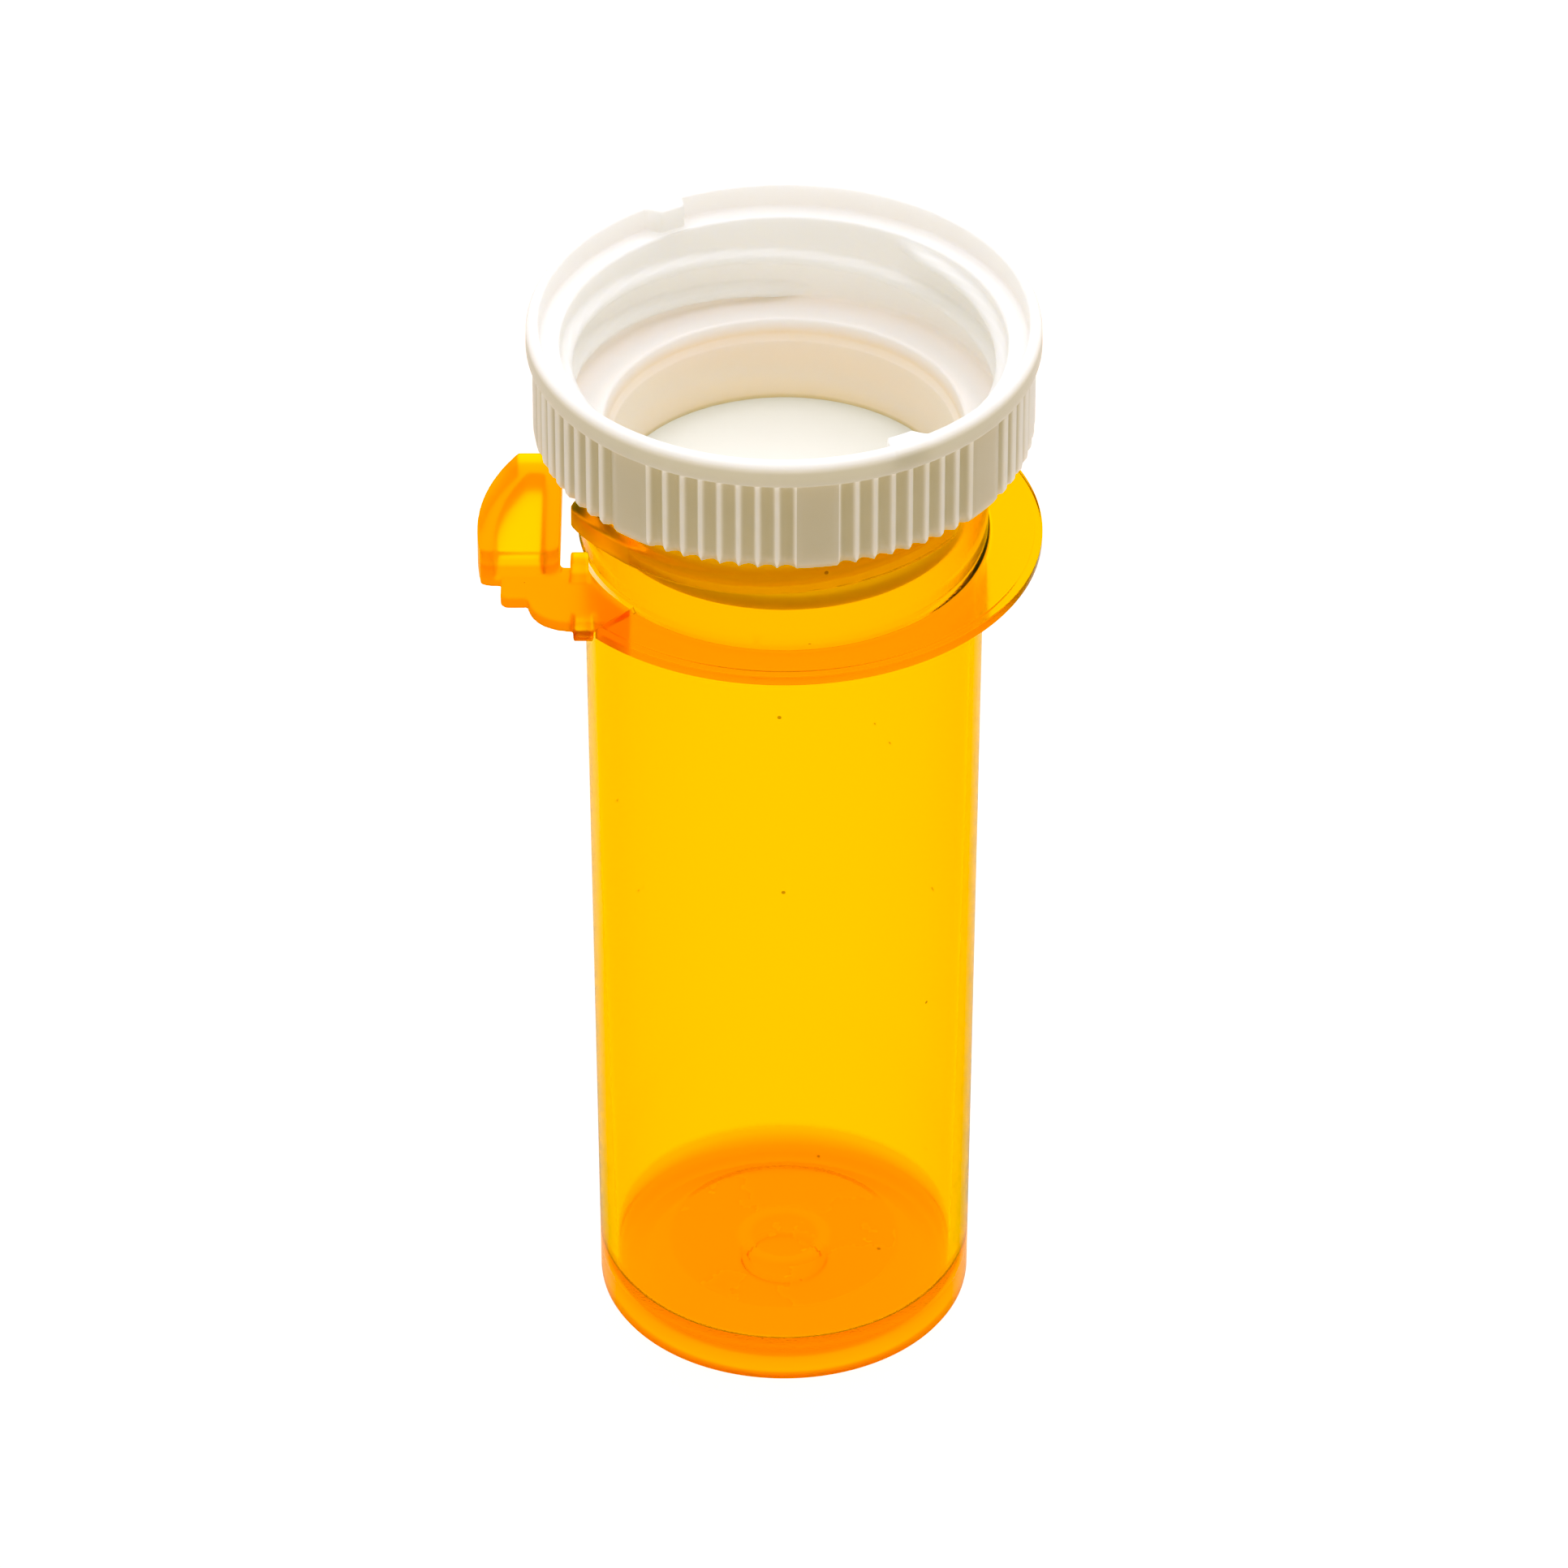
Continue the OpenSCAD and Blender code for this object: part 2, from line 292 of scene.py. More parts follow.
def rib_bearings():
    """Directions of the cap's columns, so that each rib's crest falls on a column."""
    on_panel, on_groove = 6, 8
    step = (SECTOR - PANEL_ANGLE) / GROOVES / on_groove
    bearings = []
    for group in range(RIB_GROUPS):
        start = PANEL_AZ + group * SECTOR - PANEL_ANGLE / 2
        bearings += [start + k * PANEL_ANGLE / on_panel for k in range(on_panel)]
        bearings += [start + PANEL_ANGLE + k * step for k in range(on_groove * GROOVES)]
    return [math.radians(b) for b in sorted(b % 360 for b in bearings)]


def even_bearings(count):
    return [2 * math.pi * i / count for i in range(count)]


# ---- geometry node trees ----

class Moulding(Graph):
    """A geometry tree that moves the points of a lathed piece towards or away from its axis."""

    def __init__(self, name, sizes):
        tree = bpy.data.node_groups.new(name, "GeometryNodeTree")
        super().__init__(tree)
        socket = tree.interface.new_socket
        socket("Geometry", in_out="INPUT", socket_type="NodeSocketGeometry")
        for label, value in sizes.items():
            socket(label, in_out="INPUT", socket_type="NodeSocketFloat").default_value = value
        socket("Material", in_out="INPUT", socket_type="NodeSocketMaterial")
        socket("Geometry", in_out="OUTPUT", socket_type="NodeSocketGeometry")
        self.group_in = self.add("NodeGroupInput")
        place = self.add("GeometryNodeInputPosition")
        self.x, self.y, self.z = (v * (1 / MM) for v in self.xyz(place.outputs[0]))
        self.r = self.radius(self.x, self.y)
        self.az = self.bearing(self.x, self.y)

    def size(self, label):
        return self.number(self.group_in, label)

    def finish(self, outward):
        """Moves each point outward by that many millimetres, and closes the tree."""
        scale = outward * MM / self.r
        offset = self.add("ShaderNodeCombineXYZ", inputs={0: self.x * scale, 1: self.y * scale})
        moved = self.add("GeometryNodeSetPosition", inputs={
            "Geometry": self.group_in.outputs["Geometry"],
            "Offset": offset.outputs[0],
        })
        real = self.add("GeometryNodeRealizeInstances", inputs={0: moved.outputs[0]})
        painted = self.add("GeometryNodeSetMaterial", inputs={
            "Geometry": real.outputs[0],
            "Material": self.group_in.outputs["Material"],
        })
        self.add("NodeGroupOutput", inputs={0: painted.outputs[0]})
        return self.tree


def ridge_tree():
    """Two-start right-hand thread on a wall of radius Wall."""
    g = Moulding("screw_ridge", {
        "Wall": 15.0, "Height": 1.0, "Lead": 6.0, "From": 0.0, "Low": 70.0, "Sweep": 150.0,
        "Base": 2.0, "Crest": 1.0, "Hook": 0.0, "Hook angle": 40.0, "Fade": 14.0,
    })
    wall_band = 0.06
    on_wall = g.math("LESS_THAN", g.math("ABSOLUTE", g.r - g.size("Wall")), wall_band)
    half_base = g.size("Base") * 0.5
    flank = (g.size("Base") - g.size("Crest")) * 0.5
    total = None
    for start in (0.0, 180.0):
        turned = g.math("FLOORED_MODULO", g.az - g.size("From") - start, 360.0)
        hook = g.clamp(1.0 - turned / g.size("Hook angle")) ** 2.0 * g.size("Hook")
        line = g.size("Low") + g.size("Lead") * turned / 360.0 - hook
        away = g.math("ABSOLUTE", g.z - line)
        ramp = g.smooth((half_base - away) / flank)
        ends = g.math("MINIMUM", turned, g.size("Sweep") - turned) / g.size("Fade")
        ridge = ramp * g.smooth(ends)
        total = ridge if total is None else g.math("MAXIMUM", total, ridge)
    return g.finish(total * g.size("Height") * on_wall)


def rib_tree():
    """Groups of grip ribs with a plain panel between each two groups."""
    g = Moulding("grip_ribs", {
        "Groups": RIB_GROUPS, "Grooves": GROOVES, "Panel": PANEL_ANGLE, "First panel": PANEL_AZ,
        "Depth": 0.5, "Foot": 79.0, "Bead": 86.9, "Skirt": 16.9,
    })
    group = 360.0 / g.size("Groups")
    pitch = (group - g.size("Panel")) / g.size("Grooves")
    along = g.math("FLOORED_MODULO", g.az - g.size("First panel") - g.size("Panel") * 0.5, group)
    wave = g.math("ABSOLUTE", g.math("SINE", along / pitch * math.pi))
    fullness = 0.75
    groove_edge, bead_edge, side_edge = 0.5, 0.35, 0.9
    groove = wave ** fullness
    in_group = g.math("LESS_THAN", along, group - g.size("Panel"))
    above_foot = g.rise(g.z, g.size("Foot") - groove_edge, groove_edge)
    below_bead = g.smooth((g.size("Bead") - g.z) / bead_edge)
    outside = g.rise(g.r, g.size("Skirt"), side_edge)
    return g.finish(-g.size("Depth") * groove * in_group * above_foot * below_bead * outside)


def lug_tree():
    """Two ratchet lugs inside the rim: each has one steep face and one ramp."""
    g = Moulding("rim_lugs", {
        "At": 118.6, "Reach": 1.05, "Width": 7.0, "Ramp": 3.2,
        "Counterbore": 17.95, "Ledge in": 16.4, "Ledge": 87.1, "Rim edge": 18.9,
    })
    from_lug = g.math("FLOORED_MODULO", g.az - g.size("At") + 90.0, 180.0) - 90.0
    steep_angle, ledge_depth = 0.8, 0.02
    steep = g.smooth((from_lug + g.size("Width") * 0.5) / steep_angle)
    ramp = g.smooth((g.size("Width") * 0.5 + g.size("Ramp") - from_lug) / g.size("Ramp"))
    on_ledge = g.clamp((g.r - g.size("Ledge in")) / (g.size("Counterbore") - g.size("Ledge in")))
    on_rim = g.clamp((g.size("Rim edge") - g.r) / (g.size("Rim edge") - g.size("Counterbore")))
    high = g.math("GREATER_THAN", g.z, g.size("Ledge") - ledge_depth)
    return g.finish(-g.size("Reach") * steep * ramp * on_ledge * on_rim * high)


def mould(piece, tree, material, **sizes):
    """Runs a tree on the piece with its named inputs set, and keeps the plain result."""
    modifier = piece.modifiers.new(tree.name, "NODES")
    modifier.node_group = tree
    labels = {s.name: s.identifier for s in tree.interface.items_tree if s.in_out == "INPUT"}
    modifier[labels["Material"]] = material
    for label, value in sizes.items():
        modifier[labels[label.replace("_", " ")]] = float(value)
    bpy.context.view_layer.update()
    depsgraph = bpy.context.evaluated_depsgraph_get()
    made = bpy.data.meshes.new_from_object(piece.evaluated_get(depsgraph))
    piece.modifiers.remove(modifier)
    piece.data = made


# ---- materials ----

# Share of the light that crosses the amber skin, by place; the floor, foot and neck shares also hold
# painted shade
SIDE_TINT = (1.0, 0.83, 0.02, 1)
FLOOR_DEPTH_AND_SHADE_TINT = (1.0, 0.52, 0.02, 1)
FOOT_SHADE_TINT = (1.0, 0.42, 0.02, 1)
NECK_SHADE_TINT = (1.0, 0.72, 0.02, 1)
COLLAR_TINT = (1.0, 0.62, 0.02, 1)
ARM_TINT = (1.0, 0.42, 0.02, 1)
PAD_TINT = (1.0, 0.78, 0.02, 1)
EDGE_TINT = (1.0, 0.88, 0.12, 1)
DEPTH_TINT = (0.998, 0.8, 0.3, 1)
GLOSS_TINT = (1.0, 0.7, 0.04, 1)
SPECK_BROWN = (0.12, 0.05, 0.01, 1)
AMBER_IOR = 1.17
ARM_SIDE_X = -11.5

# White skin, by place: a satin tone that varies at random, with painted warm light low down and
# painted shade on the well floor, the outside, the grooves and panels, and the bead
SATIN_LIGHT = (0.975, 0.95, 0.925, 1)
SATIN_DARK = (0.96, 0.93, 0.90, 1)
AMBER_LIT_WHITE = (0.995, 0.955, 0.915, 1)
DISC_SHADE_GREY = (0.79, 0.78, 0.74, 1)
OUTSIDE_SHADE_GREY = (0.67, 0.64, 0.60, 1)
GROOVE_SHADE_GREY = (0.43, 0.39, 0.345, 1)
BEAD_SHADE_GREY = (0.44, 0.42, 0.39, 1)
SKIRT_SIDE_R = 17.2    # between the skirt's inside and the bottoms of its grooves


class Finish(Graph):
    """A material with one Principled shader, and noise read from the object's own place."""

    def __init__(self, name):
        self.material = bpy.data.materials.new(name)
        self.material.use_nodes = True
        tree = self.material.node_tree
        tree.nodes.clear()
        super().__init__(tree)
        self.place = self.add("ShaderNodeTexCoord").outputs["Object"]
        self.shader = self.add("ShaderNodeBsdfPrincipled")
        self.output = self.add("ShaderNodeOutputMaterial", inputs={"Surface": self.shader.outputs[0]})

    def set(self, **values):
        for label, value in values.items():
            self.feed(self.shader.inputs[label.replace("_", " ")], value)

    def millimetres(self):
        """The place on the piece as x, y, z and distance from the axis, all in millimetres."""
        x, y, z = (v * (1 / MM) for v in self.xyz(self.place))
        return x, y, z, self.radius(x, y)

    def noise(self, size_mm, detail=3.0, stretch=(1, 1, 1)):
        """Noise from 0 to 1 with features of about that size."""
        mapping = self.add("ShaderNodeMapping", inputs={"Vector": self.place, "Scale": stretch})
        node = self.add("ShaderNodeTexNoise", inputs={
            "Vector": mapping.outputs[0],
            "Scale": 1 / (size_mm * MM),
            "Detail": detail,
        })
        return self.number(node)

    def mix(self, factor, first, second):
        node = self.add("ShaderNodeMix", {"data_type": "RGBA"}, {0: factor, 6: first, 7: second})
        return node.outputs[2]

    def bump(self, height, strength, distance_mm):
        node = self.add("ShaderNodeBump", inputs={
            "Height": height, "Strength": strength, "Distance": distance_mm * MM,
        })
        self.feed(self.shader.inputs["Normal"], node.outputs[0])


def amber_tint(f):
    """The amber skin's colour at each place, with painted shade on the foot ring, the neck and in
    part the floor, and how far a place is low, high or on the lever.
    """
    x, y, z, r = f.millimetres()
    low = f.fall(z, FLOOR_Z - 0.3, 0.7)
    high = f.rise(z, COLLAR_LOW - 0.8, 0.6)
    lever = high * f.rise(r, NECK_R + 0.22, 0.15) * f.fall(x, ARM_SIDE_X, 0.5)
    collar = high * f.rise(r, NECK_R + 0.17, 0.2)
    foot = f.fall(z, 0.5, 1.0) * f.rise(r, RECESS_R, 1.0)
    # Deeper orange on the vial's thick floor: partly the longer way through it, and partly painted
    # shade under the vial.
    tint = f.mix(low, SIDE_TINT, FLOOR_DEPTH_AND_SHADE_TINT)
    # Painted shade: the neck is deeper orange for the cap's shadow over it.
    tint = f.mix(high, tint, NECK_SHADE_TINT)
    tint = f.mix(collar, tint, COLLAR_TINT)
    tint = f.mix(lever, tint, ARM_TINT)
    tint = f.mix(lever * f.rise(z, COLLAR_TOP + 0.7, 0.5), tint, PAD_TINT)
    # Painted shade: the foot ring is deeper orange where it sits on the table.
    tint = f.mix(foot, tint, FOOT_SHADE_TINT)
    dust_spacing, speck_size = 7.0, 0.022
    dust = f.add("ShaderNodeTexVoronoi", inputs={
        "Vector": f.place, "Scale": 1 / (dust_spacing * MM),
    })
    speck = f.math("LESS_THAN", f.number(dust), speck_size)
    return f.mix(speck * 0.85, tint, SPECK_BROWN), low, high, lever


def amber_plastic():
    """Clear amber polypropylene: its skin and its depth both colour the light that crosses it."""
    f = Finish("amber_plastic")
    tint, low, high, lever = amber_tint(f)
    haze = f.noise(6.0, 4.0)
    f.set(
        Base_Color=tint,
        Specular_Tint=GLOSS_TINT,
        Transmission_Weight=1.0,
        IOR=AMBER_IOR,
        Roughness=0.02 + haze * 0.07 + low * 0.26 + high * 0.10 + lever * 0.25,
    )
    grain = f.noise(0.35, 2.0)
    flow = f.noise(3.0, 2.0, stretch=(1, 1, 0.25))
    f.bump(flow * 0.6 + grain * 0.15, 0.25, 0.05)
    # At a slant the side wall shows more of what comes through it and less of what it reflects.
    facing = f.number(f.add("ShaderNodeLayerWeight", inputs={"Blend": 0.5}), "Facing")
    side_wall = (1.0 - low) * f.fall(f.millimetres()[2], COLLAR_LOW - 3.0, 1.5)
    through = f.add("ShaderNodeBsdfRefraction", inputs={
        "Color": EDGE_TINT, "Roughness": 0.05, "IOR": AMBER_IOR,
    })
    blend = f.add("ShaderNodeMixShader", inputs={
        0: side_wall * f.rise(facing, 0.4, 0.3) * 0.6,
        1: f.shader.outputs[0],
        2: through.outputs[0],
    })
    f.feed(f.output.inputs["Surface"], blend.outputs[0])
    take = f.add("ShaderNodeVolumeAbsorption", inputs={
        "Color": DEPTH_TINT,
        "Density": 450.0,
    })
    f.feed(f.output.inputs["Volume"], take.outputs[0])
    return f.material


def white_skin(f):
    """Colour of the white skin: a satin tone, warmer low down with painted light, and greyer with
    painted shade on the well floor and all over the outside.
    """
    x, y, z, r = f.millimetres()
    skin = f.mix(f.noise(8.0, 3.0), SATIN_LIGHT, SATIN_DARK)
    # Painted light: the white is warmer low on the cap, for amber light that comes through the vial's
    # neck.
    amber_light_share = f.fall(z, PLATE_TOP - 1.0, 5.0)
    skin = f.mix(amber_light_share * 0.7, skin, AMBER_LIT_WHITE)
    # Painted shade: the floor at the foot of the cap's well is made greyer.
    disc_shade = f.fall(z, PLUG_LOW + 1.1, 0.3) * f.fall(r, PLUG_R - 0.5, 0.3)
    skin = f.mix(disc_shade, skin, DISC_SHADE_GREY)
    # Painted shade: the cap's outside below the rim's top is made greyer, in patches from noise.
    inside_edge = SKIRT_SIDE_R + f.rise(z, BEAD_LOW, 0.2) * 1.1
    outside_shade = f.rise(r, inside_edge, 0.3) * f.fall(z, RIM_TOP - 0.55, 0.5)
    shade_patches = f.noise(2.5, 4.0)
    skin = f.mix(outside_shade * (0.85 + shade_patches * 0.3), skin, OUTSIDE_SHADE_GREY)
    # Painted shade: the bottoms of the grip grooves and the plain panels are made darker.
    along = f.math("FLOORED_MODULO", f.bearing(x, y) - (PANEL_AZ + PANEL_ANGLE / 2), SECTOR)
    on_panel = f.math("GREATER_THAN", along, SECTOR - PANEL_ANGLE)
    in_groove = f.math("MAXIMUM", f.fall(r, RIB_R - 0.4, 0.25), on_panel)
    groove_shade = in_groove * f.rise(r, SKIRT_SIDE_R + 0.1, 0.2) * f.fall(z, BEAD_LOW - 0.2, 0.2)
    skin = f.mix(groove_shade * 0.8, skin, GROOVE_SHADE_GREY)
    # Painted shade: the outer face of the rim's bead is made darker.
    bead_shade = f.rise(r, BEAD_R - 0.3, 0.2) * f.fall(z, RIM_TOP - 0.9, 0.6)
    return f.mix(bead_shade, skin, BEAD_SHADE_GREY)


def white_plastic(name, glow):
    """White polypropylene with a satin skin. Glow is the share of light that spreads inside it."""
    f = Finish(name)
    grain = f.noise(0.25, 3.0)
    f.set(
        Base_Color=white_skin(f),
        Roughness=0.30 + grain * 0.15,
        IOR=1.49,
        Subsurface_Weight=glow,
        Subsurface_Radius=(1.0, 0.9, 0.75),
        Subsurface_Scale=0.005,
    )
    f.bump(grain, 0.15, 0.02)
    return f.material


# ---- pieces ----

def vial_section():
    """Section of the vial from the middle of its underside, round the outside and back inside."""
    fillet = 0.06
    gate_low = RECESS_DEPTH - 0.2
    collar_step_r, collar_step_h = 0.6, 0.1
    ring_r, ring_low, ring_high = 9.0, FLOOR_Z - 0.12, FLOOR_Z + 0.08
    row_height = 0.13
    corners = [
        (0, RECESS_DEPTH, 0),
        (GATE_R - 0.7, RECESS_DEPTH, fillet),
        (GATE_R - 0.55, gate_low, fillet),
        (GATE_R - 0.1, gate_low, fillet),
        (GATE_R + 0.1, RECESS_DEPTH, fillet),
        (RECESS_R - 1.6, RECESS_DEPTH, 1.2),
        (RECESS_R, STAND_OFF, 0.6),
        (FOOT_R, STAND_OFF, 0.75),
        (SHOULDER_R, COLLAR_LOW, 0.25),
        (COLLAR_R, COLLAR_LOW, 0.18),
        (COLLAR_R, COLLAR_TOP - collar_step_h - 0.02, 0.1),
        (COLLAR_R - collar_step_r + 0.05, COLLAR_TOP - collar_step_h, 0.04),
        (COLLAR_R - collar_step_r, COLLAR_TOP, 0.04),
        (NECK_R, COLLAR_TOP, 0.4),
        (NECK_R, NECK_TOP, 0.2),
        (BORE_R, NECK_TOP, 0.2),
        (BORE_R, COLLAR_TOP + 0.5, 0.5),
        (SHOULDER_R - WALL, COLLAR_LOW, 0.5),
        (FOOT_R - WALL, FLOOR_Z, 0.8),
        (ring_r, FLOOR_Z, 0.1),
        (ring_r - 0.3, ring_low, 0.1),
        (GATE_R + 0.5, ring_low, 0.1),
        (GATE_R + 0.1, ring_high, 0.1),
        (GATE_R - 0.5, ring_high, 0.1),
        (GATE_R - 0.9, ring_low, 0.1),
        (0, ring_low, 0),
    ]
    return spaced(rounded(corners), COLLAR_TOP, NECK_TOP, row_height)


def bay_share(az):
    """How far the collar is cut away in one direction, from 0 to 1."""
    edge = 0.35
    inside = min((az - BAY_END_AZ) / edge, (HINGE_AZ - az) / edge)
    share = min(1.0, max(0.0, inside))
    return share * share * (3 - 2 * share)


def vial_bearings():
    """Directions of the vial's columns, closer together at the two ends of the lever's bay."""
    whole = set(range(360))
    step = 0.07
    close = {
        end + side * k * step
        for end in (BAY_END_AZ, HINGE_AZ) for k in range(1, 6) for side in (1, -1)
    }
    return [math.radians(a) for a in sorted(whole | close)]


def nub(az, r, z):
    """How far the small moulding mark at the foot of the neck stands out at one point."""
    reach, half_angle, half_height, up_from_collar = 0.35, 1.2, 0.3, 0.3
    if abs(r - NECK_R) > 0.5 or z < COLLAR_TOP:
        return 0.0
    across = (az - NUB_AZ) / half_angle
    up = (z - COLLAR_TOP - up_from_collar) / half_height
    return reach * math.exp(-across * across - up * up)


def vial_rings():
    """The vial's rings of points, with the collar drawn back to the neck along the lever's bay."""
    section = vial_section()
    low, high = COLLAR_LOW - 0.3, COLLAR_TOP + 0.25
    on_collar = [i for i, p in enumerate(section) if p.x > NECK_R - 0.3 and low < p.y < high]
    first, last = on_collar[0], on_collar[-1]
    bearings = vial_bearings()
    rings = []
    for i, p in enumerate(section):
        ring = []
        for a in bearings:
            point = p
            if first <= i <= last:
                wall = section[first].lerp(section[last], (i - first) / (last - first))
                point = p.lerp(wall, bay_share(math.degrees(a)))
            radius = point.x + nub(math.degrees(a), point.x, point.y)
            ring.append((radius * math.cos(a), radius * math.sin(a), point.y))
        rings.append(ring)
    return rings


def make_vial(amber, ridges):
    vial = lathe("amber_vial", vial_rings())
    neck_sweep, neck_thread_drop = 150.0, 1.35
    mould(
        vial, ridges, amber, Wall=NECK_R, Height=NECK_THREAD_H, Lead=LEAD,
        From=NECK_THREAD_AZ, Sweep=neck_sweep,
        Low=NECK_TOP - neck_thread_drop - LEAD * neck_sweep / 360,
        Base=2.6, Crest=1.5, Hook=2.4, Hook_angle=42,
    )
    mould(
        vial, ridges, amber, Wall=BORE_R, Height=-PLUG_THREAD_H, Lead=LEAD,
        From=PLUG_THREAD_AZ, Sweep=96, Low=NECK_TOP - PLUG_THREAD_DROP,
        Base=PLUG_THREAD_BASE, Crest=FINE_CREST,
    )
    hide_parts("vial_body")
    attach(vial, "vial")


def cap_section():
    """Closed section of the cap, from the well's foot outwards and back over the inside."""
    mouth_w, mouth_drop = 0.6, 1.6
    corners = [
        (WELL_R, PLUG_LOW, 0.05),
        (PLUG_R, PLUG_LOW, 0.25),
        (PLUG_R, NECK_TOP, 0.15),
        (RIB_R, NECK_TOP, 1.3),
        (RIB_R, BEAD_LOW, 0.12),
        (BEAD_R, BEAD_LOW + 0.12, 0.15),
        (BEAD_R - 0.05, RIM_TOP, 0.6),
        (COUNTERBORE_R, RIM_TOP, 0.2),
        (COUNTERBORE_R, LEDGE_Z, 0.2),
        (SKIRT_BORE_R, LEDGE_Z, 0.2),
        (SKIRT_BORE_R, PLATE_TOP, 0.4),
        (WELL_R + mouth_w, PLATE_TOP, 0.25),
        (WELL_R + mouth_w - 0.25, NECK_TOP, 0.4),
        (WELL_R, PLATE_TOP - mouth_drop, 0.3),
        (WELL_R, PLUG_LOW, 0.05),
    ]
    # One corner more at each end rounds the corner where the section closes.
    return rounded(corners[-2:-1] + corners[:-1] + corners[:1])[1:-1]


def make_cap(white, ridges):
    row_height = 0.2
    section = spaced(cap_section(), PLUG_LOW, LEDGE_Z, row_height)
    cap = lathe("white_cap", turned_rings(section, rib_bearings()), closed_loop=True)
    mould(cap, rib_tree(), white, Foot=NECK_TOP, Bead=BEAD_LOW, Skirt=16.9)
    mould(
        cap, lug_tree(), white, Ledge=LEDGE_Z, Counterbore=COUNTERBORE_R,
        Ledge_in=SKIRT_BORE_R, Rim_edge=BEAD_R,
    )
    skirt_sweep, skirt_thread_drop = 342.0, 0.8
    mould(
        cap, ridges, white, Wall=SKIRT_BORE_R, Height=-SKIRT_THREAD_H, Lead=LEAD,
        From=SKIRT_THREAD_AZ - skirt_sweep, Sweep=skirt_sweep,
        Low=LEDGE_Z - skirt_thread_drop - LEAD * skirt_sweep / 360,
        Base=1.4, Crest=FINE_CREST,
    )
    below_bore_ridge = LEAD / 4 - 0.3
    mould(
        cap, ridges, white, Wall=PLUG_R, Height=PLUG_THREAD_H, Lead=LEAD,
        From=PLUG_THREAD_AZ, Sweep=132, Low=NECK_TOP - PLUG_THREAD_DROP - below_bore_ridge,
        Base=PLUG_THREAD_BASE, Crest=FINE_CREST,
    )
    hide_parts("reversible_cap")
    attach(cap, "cap")


def make_plug_floor(white):
    """The disc that closes the foot of the cap's well, with a small ring mark in its middle."""
    top, low, edge = disc_high.z, disc_low.z, WELL_R - 0.005
    mark_low = top - 0.08
    corners = [
        (0, low, 0),
        (edge, low, 0.1),
        (edge, top, 0.03),
        (1.0, top, 0.05),
        (0.85, mark_low, 0.05),
        (0.45, mark_low, 0.05),
        (0.35, top, 0.03),
        (0, top, 0),
    ]
    disc = lathe("white_plug_floor", turned_rings(rounded(corners), even_bearings(192)))
    disc.data.materials.append(white)
    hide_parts("cap_plug_floor")
    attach(disc, "cap_carrier")


def make_lever(amber):
    """The lever with its edges rounded off, from a merged copy of the designed solid."""
    merge_distance = 1e-6
    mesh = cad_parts["release_lever"].data.copy()
    bm = bmesh.new()
    bm.from_mesh(mesh)
    bmesh.ops.remove_doubles(bm, verts=bm.verts, dist=merge_distance)
    bm.to_mesh(mesh)
    bm.free()
    lever = bpy.data.objects.new("amber_lever", mesh)
    bpy.context.scene.collection.objects.link(lever)
    remesh = lever.modifiers.new("even_skin", "REMESH")
    remesh.mode = "VOXEL"
    remesh.voxel_size = 0.12 * MM
    smooth = lever.modifiers.new("round_edges", "SMOOTH")
    smooth.factor = 0.5
    smooth.iterations = 8
    bpy.context.view_layer.update()
    depsgraph = bpy.context.evaluated_depsgraph_get()
    made = bpy.data.meshes.new_from_object(lever.evaluated_get(depsgraph))
    lever.modifiers.clear()
    lever.data = made
    made.materials.clear()
    made.materials.append(amber)
    made.polygons.foreach_set("use_smooth", [True] * len(made.polygons))
    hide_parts("release_lever")
    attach(lever, "lever")


# ---- studio ----

def make_floor():
    """A pale table that gives out its own light, so that its colour stays even."""
    f = Finish("studio_floor")
    f.set(
        Base_Color=(0.04, 0.04, 0.04, 1), Roughness=0.9,
        Emission_Color=(1.0, 0.88, 0.83, 1), Emission_Strength=1.16,
    )
    bpy.ops.mesh.primitive_plane_add(size=6.0, location=(0, 0, 0))
    floor = bpy.context.object
    floor.name = "studio_floor"
    floor.data.materials.append(f.material)


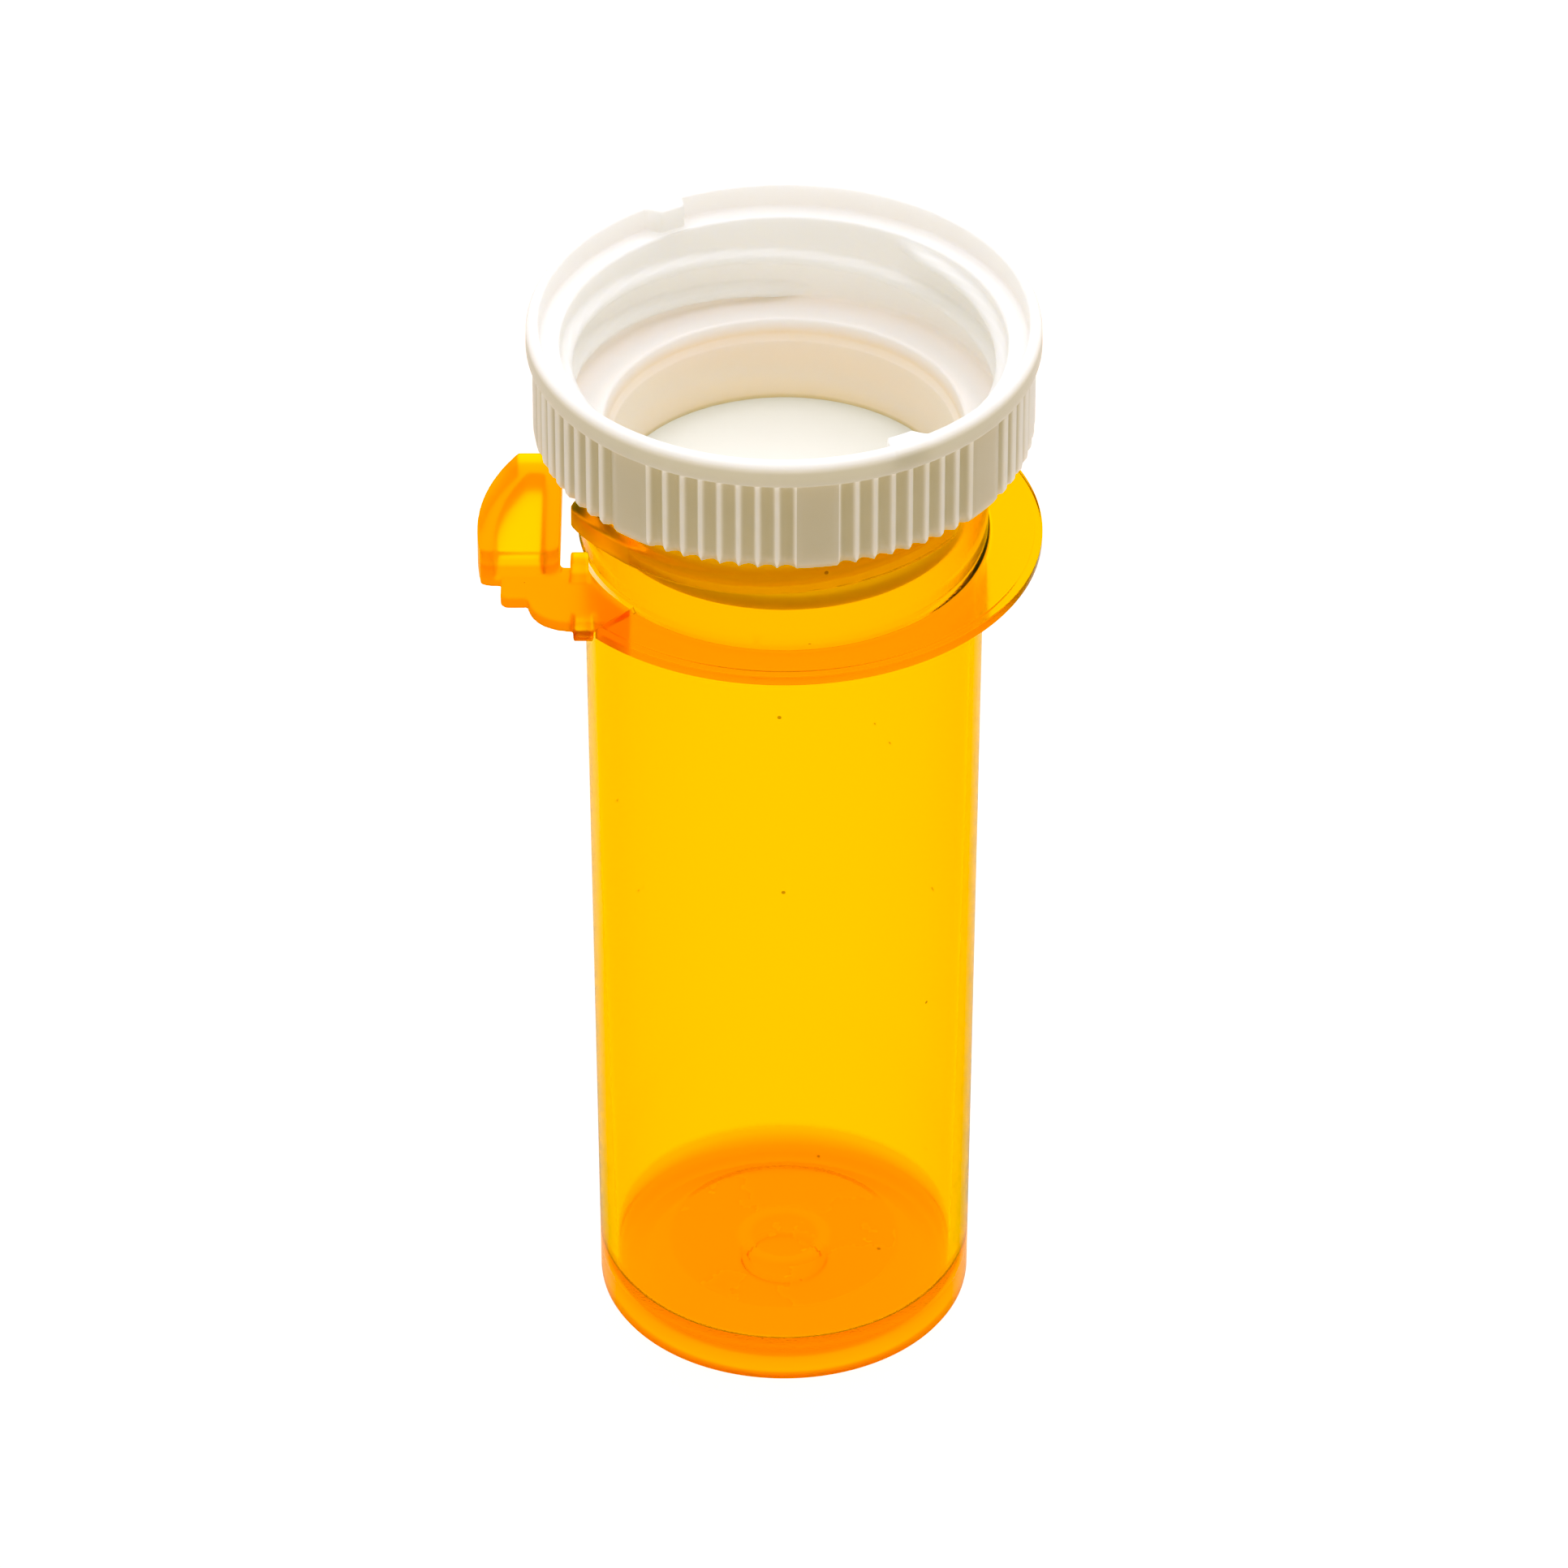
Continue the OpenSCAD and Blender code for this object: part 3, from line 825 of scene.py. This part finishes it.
def make_lamp(name, place, target, size, watts):
    """A square lamp at one place that shines on another."""
    light = bpy.data.lights.new(name, "AREA")
    light.size = size
    light.energy = watts
    lamp = bpy.data.objects.new(name, light)
    lamp.location = place
    lamp.rotation_euler = (Vector(target) - Vector(place)).to_track_quat("-Z", "Y").to_euler()
    bpy.context.scene.collection.objects.link(lamp)


def make_studio():
    """Table, soft light all round that is stronger behind, and one wide lamp overhead."""
    make_floor()
    all_round, more_behind = 0.45, 0.45
    world = bpy.data.worlds.new("studio")
    world.use_nodes = True
    graph = Graph(world.node_tree)
    direction = graph.add("ShaderNodeTexCoord").outputs["Generated"]
    behind = graph.rise(graph.xyz(direction)[1], 0.1, 0.5)
    backdrop = world.node_tree.nodes["Background"]
    graph.feed(backdrop.inputs["Color"], (1, 0.97, 0.94, 1))
    graph.feed(backdrop.inputs["Strength"], behind * more_behind + all_round)
    bpy.context.scene.world = world
    make_lamp("top_softbox", place=(0.05, 0.15, 1.0), target=(0, 0, 0.04), size=1.2, watts=9.5)


def make_camera():
    """Long lens, looking down at the vial from the front."""
    elevation = math.radians(36.36)
    distance = 0.7654
    target = Vector((0, 0, 0.0468))
    camera = bpy.data.cameras.new("camera")
    camera.sensor_width = 36.0
    camera.lens = 232.9
    holder = bpy.data.objects.new("camera", camera)
    holder.location = target + distance * Vector((0, -math.cos(elevation), math.sin(elevation)))
    holder.rotation_euler = (math.pi / 2 - elevation, 0, 0)
    camera.clip_start = 0.01
    camera.clip_end = 20.0
    bpy.context.scene.collection.objects.link(holder)
    bpy.context.scene.camera = holder


def set_view():
    """Plain colours, with a little blue kept out of the darkest ones."""
    settings = bpy.context.scene.view_settings
    settings.view_transform = "Standard"
    settings.use_curve_mapping = True
    settings.curve_mapping.black_level = (0, 0, 0.11)
    settings.curve_mapping.update()


make_camera()
make_studio()
amber = amber_plastic()
white = white_plastic("white_plastic", 0.7)
flat_white = white_plastic("flat_white_plastic", 0.0)
ridges = ridge_tree()
make_vial(amber, ridges)
make_lever(amber)
make_cap(white, ridges)
make_plug_floor(flat_white)
set_view()
